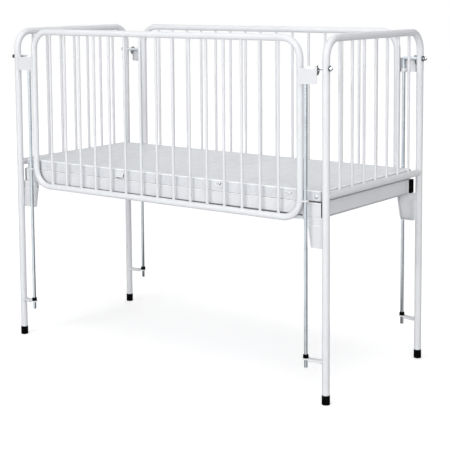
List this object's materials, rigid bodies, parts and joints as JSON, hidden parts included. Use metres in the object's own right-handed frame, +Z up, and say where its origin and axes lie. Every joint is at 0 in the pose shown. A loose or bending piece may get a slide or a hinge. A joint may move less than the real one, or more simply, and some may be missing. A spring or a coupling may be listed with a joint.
{
  "type": "hospital cot",
  "caption": "Child's hospital cot in white steel tube: flat sheet deck on tall legs, barred ends and two barred sides that slide down on upright rods.",
  "frame": {"origin": "on the floor, under the middle of the cot", "axes": "+X along the cot to its right end, +Y from the front side to the rear side, +Z up"},
  "size_m": [1.4684, 0.671, 1.213],
  "materials": {
    "frame_paint": "white powder coat, satin",
    "deck_paint": "white powder coat, satin, on sheet",
    "rod_zinc": "zinc-plated round bar",
    "nut_chrome": "bright plated",
    "bolt_zinc": "zinc-plated",
    "foot_rubber": "black, moulded",
    "bumper_rubber": "black, moulded",
    "plug_plastic": "black, moulded"
  },
  "bodies": {
    "frame": {"acorn_nuts": "nut_chrome", "base_beam_front": "frame_paint", "base_beam_rear": "frame_paint", "beam_plug_front_left": "plug_plastic", "beam_plug_front_right": "plug_plastic", "beam_plug_rear_left": "plug_plastic", "beam_plug_rear_right": "plug_plastic", "bracket_bolts": "bolt_zinc", "bumper_front_left": "bumper_rubber", "bumper_front_right": "bumper_rubber", "bumper_rear_left": "bumper_rubber", "bumper_rear_right": "bumper_rubber", "corner_bracket_front_left": "frame_paint", "corner_bracket_front_right": "frame_paint", "corner_bracket_rear_left": "frame_paint", "corner_bracket_rear_right": "frame_paint", "cross_stiffener_left": "frame_paint", "cross_stiffener_right": "frame_paint", "crossmember_left": "frame_paint", "crossmember_right": "frame_paint", "deck_tray": "deck_paint", "end_bars_left": "frame_paint", "end_bars_right": "frame_paint", "end_cross_tube_left": "frame_paint", "end_cross_tube_right": "frame_paint", "end_frame_left": "frame_paint", "end_frame_right": "frame_paint", "foot_front_left": "foot_rubber", "foot_front_right": "foot_rubber", "foot_rear_left": "foot_rubber", "foot_rear_right": "foot_rubber", "guide_rod_front_left": "rod_zinc", "guide_rod_front_right": "rod_zinc", "guide_rod_rear_left": "rod_zinc", "guide_rod_rear_right": "rod_zinc", "rod_arm_front_left": "frame_paint", "rod_arm_front_right": "frame_paint", "rod_arm_rear_left": "frame_paint", "rod_arm_rear_right": "frame_paint", "rod_washers": "nut_chrome", "tray_bolts": "bolt_zinc", "tray_lugs": "frame_paint"},
    "front_side": {"front_latch_plate_left": "frame_paint", "front_latch_plate_right": "frame_paint", "front_lower_eye_left": "frame_paint", "front_lower_eye_right": "frame_paint", "front_side_bars": "frame_paint", "front_side_hoop": "frame_paint", "front_upper_eye_left": "frame_paint", "front_upper_eye_right": "frame_paint"},
    "rear_side": {"rear_latch_plate_left": "frame_paint", "rear_latch_plate_right": "frame_paint", "rear_lower_eye_left": "frame_paint", "rear_lower_eye_right": "frame_paint", "rear_side_bars": "frame_paint", "rear_side_hoop": "frame_paint", "rear_upper_eye_left": "frame_paint", "rear_upper_eye_right": "frame_paint"}
  },
  "joints": [
    {"name": "front_side_slide", "type": "slide", "parent": "frame", "child": "front_side", "axis": [0, 0, 1], "range_m": [-0.508, 0]},
    {"name": "rear_side_slide", "type": "slide", "parent": "frame", "child": "rear_side", "axis": [0, 0, 1], "range_m": [-0.508, 0]}
  ]
}
